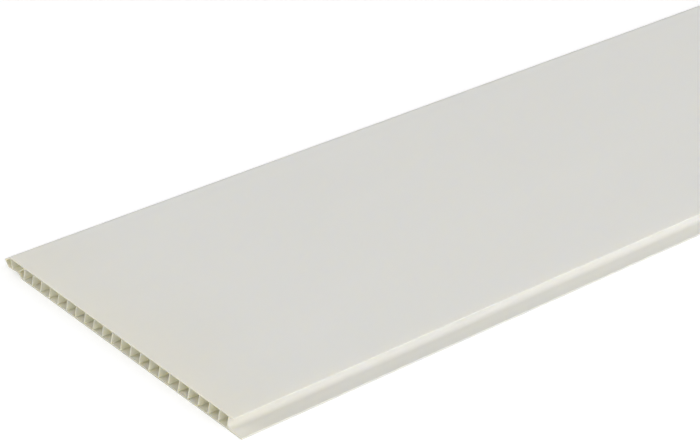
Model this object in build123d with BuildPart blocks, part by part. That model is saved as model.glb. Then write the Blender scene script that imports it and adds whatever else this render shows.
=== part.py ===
from build123d import *
from math import atan, cos, degrees, radians, sin
import os

# Hollow PVC wall panel, extruded in one piece with a tongue along one long edge and a groove
# with a fixing flange along the other. X runs across the width, Y along the length, Z up from
# the back to the face. The origin is at the middle of the panel, on the plane of its back.

# Overall sizes, in millimetres
cover_width = 250.0        # width of wall that one fitted panel covers
panel_length = 2600.0
thickness = 11.0
skin = 0.9                 # wall of the face, the back, the tongue, the groove and the lip
web = 0.5                  # wall of the webs between the cells and of the webs in the tongue
web_lean = 3.1             # how much nearer the groove the head of a web is than its foot
cell_count = 21            # equal cells, from the tongue on
end_cell_width = 8.2       # clear width of the last cell, beside the groove
cell_corner_radius = 0.5

# Tongue, measured from the sharp corner that its tip is rounded from, and from the first web
# at half its height
tongue_reach = 23.7        # rounded tip of the tongue to the middle of the first web
tip_height = 6.9           # height of the tip's corner above the back
bevel_run = 8.4            # width of the bevel between the tip's corner and the face
nose_run = 4.5             # how far the nose slants in below the tip's corner
nose_height = 2.1          # underside of the tongue at its nose
neck_height = 3.1          # underside of the tongue where it meets the body
neck_reach = 7.7           # neck of the tongue to the middle of the first web
shoulder_reach = 3.8       # foot of the shoulder to the middle of the first web
nose_web_run = 7.5         # tip's corner to the head of the nose web
nose_web_lean = 2.6        # how much nearer the tip the head of the nose web is than its foot
tip_radius = 0.7
nose_radius = 1.2
neck_radius = 0.6
shoulder_radius = 1.2
tongue_chamber_radius = 0.25

# Groove, lip and fixing flange, measured from the wall of the groove at half the height
seat_clearance = 0.8       # tip of the next panel's tongue to the wall of the groove
lip_reach = 5.5
flange_reach = 13.3
flange_thickness = 1.3
groove_foot_radius = 3.5   # hollow curve from the wall of the groove down to the flange
groove_head_radius = 0.4
edge_radius = 0.3          # rounding of the bevel's, the lip's and the flange's edges


def lean(height):
    """How far a web has leaned towards the groove at a height above the back."""
    return web_lean * (height / thickness - 1 / 2)


# Places across the width, at half the panel's height
lean_angle = atan(web_lean / thickness)
web_across = web / cos(lean_angle)
wall_across = skin / cos(lean_angle)
last_web_to_groove = web_across / 2 + end_cell_width + wall_across
tongue_and_seat = tongue_reach + last_web_to_groove + lean(tip_height) + seat_clearance
web_pitch = (cover_width - tongue_and_seat) / cell_count
overall_width = tongue_reach + cell_count * web_pitch + last_web_to_groove + flange_reach
first_web_x = tongue_reach - overall_width / 2
last_web_x = first_web_x + cell_count * web_pitch
groove_wall_x = last_web_x + last_web_to_groove

# What the rounding takes off the corner of the tip, along X
bevel_way = Vector(bevel_run, thickness - tip_height).normalized()
nose_way = Vector(nose_run, nose_height - tip_height).normalized()
tip_bisector = (bevel_way + nose_way).normalized()
tip_half_angle = radians(tip_bisector.get_angle(bevel_way))
tip_cut_back = tip_radius * (tip_bisector.X / sin(tip_half_angle) - 1)
tip_x = -overall_width / 2 - tip_cut_back

# Corners of the section that the outline and the tongue's chambers share
bevel_corner = (tip_x + bevel_run, thickness)
tip = (tip_x, tip_height)
nose = (tip_x + nose_run, nose_height)
neck = (first_web_x - neck_reach, neck_height)
shoulder = (first_web_x - shoulder_reach, 0)


def leaning_cell(across):
    """One cell between two leaning walls, across wide at any height."""
    cell_lean = lean(thickness - skin) - lean(skin)
    cell_angle = 90 - degrees(lean_angle)
    with BuildSketch(mode=Mode.PRIVATE) as cell:
        Trapezoid(across + cell_lean, thickness - 2 * skin, cell_angle, 180 - cell_angle)
        fillet(cell.vertices(), radius=cell_corner_radius)
    return cell.sketch_local


# Hollow of the tongue, parted into three chambers by the nose web and the slanted web
with BuildSketch(Plane.XZ) as tongue_chambers:
    first_web_side = first_web_x - web_across / 2 + wall_across
    first_web_head = (first_web_side + lean(thickness), thickness)
    first_web_foot = (first_web_side + lean(0), 0)
    with BuildLine():
        Polyline(
            first_web_head, bevel_corner, tip, nose, neck, shoulder, first_web_foot, close=True
        )
    make_face()
    offset(amount=-skin, kind=Kind.INTERSECTION, mode=Mode.REPLACE)
    # The slanted web runs from the inside of the neck to the head of the first web
    slant_foot = Vector(tongue_chambers.vertices().sort_by_distance(neck)[0])
    slant_head = Vector(tongue_chambers.vertices().sort_by_distance(first_web_head)[0])
    slant_overrun = (slant_head - slant_foot).normalized() * skin
    nose_web_head = (tip_x + nose_web_run, thickness)
    nose_web_foot = (tip_x + nose_web_run + nose_web_lean, 0)
    with BuildLine():
        Line(nose_web_foot, nose_web_head)
    trace(line_width=web, mode=Mode.SUBTRACT)
    with BuildLine():
        Line(slant_foot - slant_overrun, slant_head + slant_overrun)
    trace(line_width=web, mode=Mode.SUBTRACT)
    fillet(tongue_chambers.vertices(), radius=tongue_chamber_radius)

with BuildPart() as wall_panel:
    with BuildSketch(Plane.XZ) as section:
        # Outline, clockwise from the tip of the tongue, with the radius at each corner
        groove_head = (groove_wall_x + lean(thickness - skin), thickness - skin)
        groove_foot = (groove_wall_x + lean(flange_thickness), flange_thickness)
        corners = [
            (tip, tip_radius),
            (bevel_corner, edge_radius),
            ((groove_wall_x + lip_reach, thickness), edge_radius),
            ((groove_wall_x + lip_reach, thickness - skin), edge_radius),
            (groove_head, groove_head_radius),
            (groove_foot, groove_foot_radius),
            ((groove_wall_x + flange_reach, flange_thickness), edge_radius),
            ((groove_wall_x + flange_reach, 0), edge_radius),
            (shoulder, shoulder_radius),
            (neck, neck_radius),
            (nose, nose_radius),
        ]
        with BuildLine():
            FilletPolyline(
                [place for place, radius in corners],
                radius=[radius for place, radius in corners],
                close=True,
            )
        make_face()

        # Equal cells between the leaning webs, the last cell and the chambers of the tongue
        with Locations(((first_web_x + last_web_x) / 2, thickness / 2)):
            with GridLocations(web_pitch, thickness, cell_count, 1):
                add(leaning_cell(web_pitch - web_across), mode=Mode.SUBTRACT)
        with Locations((last_web_x + (web_across + end_cell_width) / 2, thickness / 2)):
            add(leaning_cell(end_cell_width), mode=Mode.SUBTRACT)
        add(tongue_chambers.sketch_local, mode=Mode.SUBTRACT)

    # The one section runs the whole length
    extrude(amount=panel_length / 2, both=True)

wall_panel.part.label = "wall_panel"

os.makedirs("parts", exist_ok=True)
export_step(wall_panel.part, "parts/wall_panel.step")
print("web pitch", round(web_pitch, 3), "overall width", round(overall_width, 3))
print("groove wall", round(groove_wall_x, 3), "first web", round(first_web_x, 3))
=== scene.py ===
from math import pi, radians

import bpy
from mathutils import Euler, Matrix, Vector


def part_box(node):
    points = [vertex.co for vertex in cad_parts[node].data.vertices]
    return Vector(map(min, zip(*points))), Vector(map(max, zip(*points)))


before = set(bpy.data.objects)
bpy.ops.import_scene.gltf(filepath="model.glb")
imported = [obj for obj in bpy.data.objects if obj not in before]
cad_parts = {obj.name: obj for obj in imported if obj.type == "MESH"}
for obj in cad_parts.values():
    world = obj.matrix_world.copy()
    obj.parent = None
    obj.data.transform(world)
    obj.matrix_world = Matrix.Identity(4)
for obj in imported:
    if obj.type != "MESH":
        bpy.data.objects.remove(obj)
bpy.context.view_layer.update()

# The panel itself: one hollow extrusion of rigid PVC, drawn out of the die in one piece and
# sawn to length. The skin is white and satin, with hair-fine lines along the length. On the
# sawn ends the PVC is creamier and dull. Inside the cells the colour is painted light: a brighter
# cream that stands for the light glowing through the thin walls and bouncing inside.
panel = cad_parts["wall_panel"]
near_corner, far_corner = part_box("wall_panel")
panel_length = far_corner.y - near_corner.y
half_length = panel_length / 2

face_white = (0.735, 0.727, 0.687, 1)
face_cream = (0.722, 0.699, 0.614, 1)
# Painted light: a brighter cream for the cells, standing for light that glows through the thin
# walls and bounces inside
painted_cell_glow = (0.905, 0.875, 0.722, 1)
sawn_cream = (0.690, 0.665, 0.545, 1)
face_roughness = 0.50
sawn_roughness = 0.75

# How squarely a surface has to face the end to start to count as sawn, and to count in full
sawn_from = 0.5
sawn_to = 0.8

# How open a surface is to the air around it, in a cell and outside, between which the painted
# cell glow fades out
air_reach = 0.012
cell_openness = 0.30
outside_openness = 0.80

# Wall of the groove at the level of the back, and how far it leans for each metre of height
groove_wall = 0.11575
wall_lean = 0.282
wall_fade = 0.0001

# Cream tint beside the sawn ends: where it starts to fade and ends, how far that wanders and
# how strong it is
tint_full = 0.01
tint_end = 0.11
tint_wander = 0.05
tint_share = 0.6

# Sizes of the surface's patterns across, along and up, in metres
cloud_size = (0.06, 0.25, 0.06)
die_line_size = (0.0009, 0.9, 0.0009)
orange_peel_size = (0.0011, 0.0016, 0.0011)
saw_mark_size = (0.00012, 0.001, 0.004)

# What the patterns do to the shade, to the roughness and, in metres, to the relief
pattern_middle = 0.5
cloud_shade = 0.03
die_line_shade = 0.012
saw_mark_shade = 0.18
cloud_roughness = 0.06
die_line_roughness = 0.10
die_line_depth = 0.000004
orange_peel_depth = 0.000003
saw_mark_depth = 0.00006


class Value:
    """A value in a material: arithmetic on it adds the Math nodes that work it out."""

    def __init__(self, finish, socket):
        self.finish = finish
        self.socket = socket

    def maths(self, operation, *values):
        sockets = dict(enumerate(values))
        return self.finish.node("ShaderNodeMath", {"operation": operation}, sockets)

    def __add__(self, other):
        return self.maths("ADD", self, other)

    def __sub__(self, other):
        return self.maths("SUBTRACT", self, other)

    def __rsub__(self, other):
        return self.maths("SUBTRACT", other, self)

    def __mul__(self, other):
        return self.maths("MULTIPLY", self, other)

    def __abs__(self):
        return self.maths("ABSOLUTE", self)

    __radd__ = __add__
    __rmul__ = __mul__


class Finish:
    """A material, or the world, and its nodes, added one at a time."""

    def __init__(self, owner):
        self.owner = owner
        self.owner.use_nodes = True
        self.tree = self.owner.node_tree
        self.tree.nodes.clear()

    def node(self, kind, settings, sockets, output=0):
        """Adds a node: its settings go in first, then what its sockets hold or are linked to."""
        made = self.tree.nodes.new(kind)
        for name, setting in settings.items():
            setattr(made, name, setting)
        for name, value in sockets.items():
            if isinstance(value, Value):
                self.tree.links.new(value.socket, made.inputs[name])
            else:
                made.inputs[name].default_value = value
        return Value(self, made.outputs[output]) if made.outputs else made

    def step(self, value, low, high):
        """0 below low and 1 above high, with a smooth change between."""
        settings = {"interpolation_type": "SMOOTHSTEP", "clamp": True}
        return self.node("ShaderNodeMapRange", settings, {0: value, 1: low, 2: high})

    def mix(self, share, first, second):
        """The first colour, turning into the second as share goes from 0 to 1."""
        sockets = {0: share, 6: first, 7: second}
        return self.node("ShaderNodeMix", {"data_type": "RGBA"}, sockets, output=2)

    def noise(self, place, size, detail=2.0, roughness=0.5):
        """Noise whose lumps measure size, in metres, along each axis."""
        stretched = self.node(
            "ShaderNodeVectorMath", {"operation": "DIVIDE"}, {0: place, 1: size}
        )
        sockets = {"Vector": stretched, "Scale": 1.0, "Detail": detail, "Roughness": roughness}
        return self.node("ShaderNodeTexNoise", {}, sockets)


pvc = Finish(bpy.data.materials.new("satin_pvc"))
place = pvc.node("ShaderNodeTexCoord", {}, {}, output="Object")
normal = pvc.node("ShaderNodeTexCoord", {}, {}, output="Normal")
across = pvc.node("ShaderNodeSeparateXYZ", {}, {0: place}, output="X")
along = pvc.node("ShaderNodeSeparateXYZ", {}, {0: place}, output="Y")
up = pvc.node("ShaderNodeSeparateXYZ", {}, {0: place}, output="Z")
end_facing = abs(pvc.node("ShaderNodeSeparateXYZ", {}, {0: normal}, output="Y"))

# Where the surface is sawn, how far it lies from the nearest end, and whether it is shut in a
# cell, where the painted cell glow goes
sawn = pvc.step(end_facing, sawn_from, sawn_to)
from_end = half_length - abs(along)
openness = pvc.node(
    "ShaderNodeAmbientOcclusion", {"samples": 8}, {"Distance": air_reach}, output="AO"
)
shut_in = 1 - pvc.step(openness, cell_openness, outside_openness)
before_groove = 1 - pvc.step(across - up * wall_lean, groove_wall, groove_wall + wall_fade)
# Painted light: the brighter cream goes where the surface is shut in, away from the sawn ends and
# the groove
cell_glow_mask = shut_in * (1 - sawn) * before_groove

clouds = pvc.noise(place, cloud_size, detail=3.0)
die_lines = pvc.noise(place, die_line_size, detail=3.0, roughness=0.7)
orange_peel = pvc.noise(place, orange_peel_size)
saw_marks = pvc.noise(place, saw_mark_size)

tint = 1 - pvc.step(from_end + clouds * tint_wander, tint_full, tint_end)
colour = pvc.mix(tint * tint_share, face_white, face_cream)
# Painted light: the cells take the brighter cream that stands for light glowing through the thin
# walls and bouncing inside
colour = pvc.mix(cell_glow_mask, colour, painted_cell_glow)
colour = pvc.mix(sawn, colour, sawn_cream)
shade = 1 + (clouds - pattern_middle) * cloud_shade
shade = shade + (die_lines - pattern_middle) * die_line_shade
shade = shade + (saw_marks - pattern_middle) * sawn * saw_mark_shade
colour = pvc.node("ShaderNodeVectorMath", {"operation": "SCALE"}, {0: colour, "Scale": shade})
roughness = face_roughness + (sawn_roughness - face_roughness) * sawn
roughness = roughness + (die_lines - pattern_middle) * die_line_roughness
roughness = roughness + (clouds - pattern_middle) * cloud_roughness
relief = die_lines * die_line_depth + orange_peel * orange_peel_depth
relief = relief + saw_marks * sawn * saw_mark_depth
bump = pvc.node("ShaderNodeBump", {}, {"Height": relief, "Distance": 1.0, "Strength": 1.0})
pvc_sockets = {
    "Base Color": colour,
    "Roughness": roughness,
    "Normal": bump,
    "IOR": 1.53,
    "Subsurface Weight": 0.8,
    "Subsurface Scale": 0.0015,
    "Subsurface Radius": (1, 0.9, 0.65),
}
pvc_shader = pvc.node("ShaderNodeBsdfPrincipled", {}, pvc_sockets)
pvc.node("ShaderNodeOutputMaterial", {}, {"Surface": pvc_shader})
panel.data.materials.clear()
panel.data.materials.append(pvc.owner)

# The floor: a wide sheet of studio paper that the panel lies on. It is lifted to white where it
# is seen straight or through glass, and in part in reflections, and lights nothing otherwise.
# The lift is weaker beside the panel, so that its soft shadow shows, and grows away from it.
floor_reach = 6.0
floor_gap = 0.0001
paper_colour = (0.70, 0.70, 0.70, 1)
near_lift = (0.47, 0.47, 0.47, 1)
far_lift = (0.90, 0.90, 0.90, 1)
lift_beside = 0.5
lift_beyond = 0.4
lift_run = 1.0
reflected_share = 0.4


def backdrop_seen(finish):
    """1 where the background is seen straight or through glass, less in a reflection."""
    camera_ray = finish.node("ShaderNodeLightPath", {}, {}, output="Is Camera Ray")
    glossy_ray = finish.node("ShaderNodeLightPath", {}, {}, output="Is Glossy Ray")
    glass_ray = finish.node("ShaderNodeLightPath", {}, {}, output="Is Transmission Ray")
    shown = camera_ray + glossy_ray * reflected_share
    return shown.maths("MAXIMUM", shown, glass_ray)


floor_mesh = bpy.data.meshes.new("studio_floor")
floor_corners = ((-1, -1), (1, -1), (1, 1), (-1, 1))
floor_mesh.from_pydata(
    [(x * floor_reach, y * floor_reach, 0) for x, y in floor_corners], [], [(0, 1, 2, 3)]
)
floor = bpy.data.objects.new("studio_floor", floor_mesh)
floor.location.z = near_corner.z - floor_gap
bpy.context.scene.collection.objects.link(floor)

paper = Finish(bpy.data.materials.new("studio_paper"))
paper_place = paper.node("ShaderNodeTexCoord", {}, {}, output="Object")
paper_across = abs(paper.node("ShaderNodeSeparateXYZ", {}, {0: paper_place}, output="X"))
paper_along = abs(paper.node("ShaderNodeSeparateXYZ", {}, {0: paper_place}, output="Y"))
beside = paper.step(paper_across, lift_beside, lift_beside + lift_run)
lift_end = half_length + lift_beyond
beyond = paper.step(paper_along, lift_end, lift_end + lift_run)
away = beside.maths("MAXIMUM", beside, beyond)
paper_glow = paper.node("ShaderNodeEmission", {}, {"Color": paper.mix(away, near_lift, far_lift)})
paper_lift = paper.node("ShaderNodeMixShader", {}, {0: backdrop_seen(paper), 2: paper_glow})
paper_diffuse = paper.node("ShaderNodeBsdfDiffuse", {}, {"Color": paper_colour})
paper_shader = paper.node("ShaderNodeAddShader", {}, {0: paper_diffuse, 1: paper_lift})
paper.node("ShaderNodeOutputMaterial", {}, {"Surface": paper_shader})
floor_mesh.materials.append(paper.owner)

# The light: a white room, long soft boxes overhead and along both edges of the panel, and
# small ones by its two ends and its near corner. They give the plain level at which a colour
# renders about as it is written.
white = (1, 1, 1, 1)
room = Finish(bpy.data.worlds.new("white_room"))
room_fill = room.node("ShaderNodeBackground", {}, {"Color": white, "Strength": 0.15})
backdrop = room.node("ShaderNodeBackground", {}, {"Color": white, "Strength": 1.0})
room_sockets = {0: backdrop_seen(room), 1: room_fill, 2: backdrop}
room_shader = room.node("ShaderNodeMixShader", {}, room_sockets)
room.node("ShaderNodeOutputWorld", {}, {"Surface": room_shader})
bpy.context.scene.world = room.owner

box_width = 1.0
long_box = 3.8
end_box = 1.0


def soft_box(name, place, aim, length, watts):
    """A soft box at a place, counted from the middle of the near sawn end, its length level."""
    lamp = bpy.data.lights.new(name, "AREA")
    lamp.shape = "RECTANGLE"
    lamp.size = length
    lamp.size_y = box_width
    lamp.energy = watts
    box = bpy.data.objects.new(name, lamp)
    sawn_end = Vector((0, near_corner.y, 0))
    box.location = sawn_end + Vector(place)
    box.rotation_euler = (Vector(aim) - Vector(place)).to_track_quat("-Z", "Y").to_euler()
    bpy.context.scene.collection.objects.link(box)


middle = (0, half_length, 0)
middle_of_groove = (0.1, half_length, 0)
soft_box("overhead_soft_box", (0.45, half_length, 1.4), middle, long_box, 14)
soft_box("groove_side_soft_box", (1.6, half_length, 0.55), middle_of_groove, long_box, 32.5)
soft_box("tongue_side_soft_box", (-1.7, half_length, 0.9), middle, long_box, 13.5)
soft_box("near_end_soft_box", (-0.65, -1.45, 0.8), (-0.1, 0, 0), end_box, 14.5)
soft_box("near_corner_soft_box", (1.1, -1.4, 0.3), (0.05, 0.1, 0), end_box, 8)
far_end_place = (0.65, panel_length + 1.45, 0.8)
soft_box("far_end_soft_box", far_end_place, (0.1, panel_length, 0), end_box, 14.5)

# The camera: a long lens above the corner where the sawn end meets the flange, held level and
# looking down along the panel.
camera_azimuth = radians(50.719)
camera_elevation = radians(28.742)
camera_distance = 1.5187
camera_aim = Vector((-0.0178, near_corner.y + 0.2035, far_corner.z))
camera_data = bpy.data.cameras.new("camera")
camera_data.sensor_width = 36
camera_data.lens = 114.96
camera_data.clip_end = 50
camera = bpy.data.objects.new("camera", camera_data)
turn = Euler((pi / 2 - camera_elevation, 0, camera_azimuth)).to_matrix()
camera_place = camera_aim + turn.col[2] * camera_distance
camera.matrix_world = Matrix.Translation(camera_place) @ turn.to_4x4()
bpy.context.scene.collection.objects.link(camera)
bpy.context.scene.camera = camera
bpy.context.scene.view_settings.view_transform = "Standard"
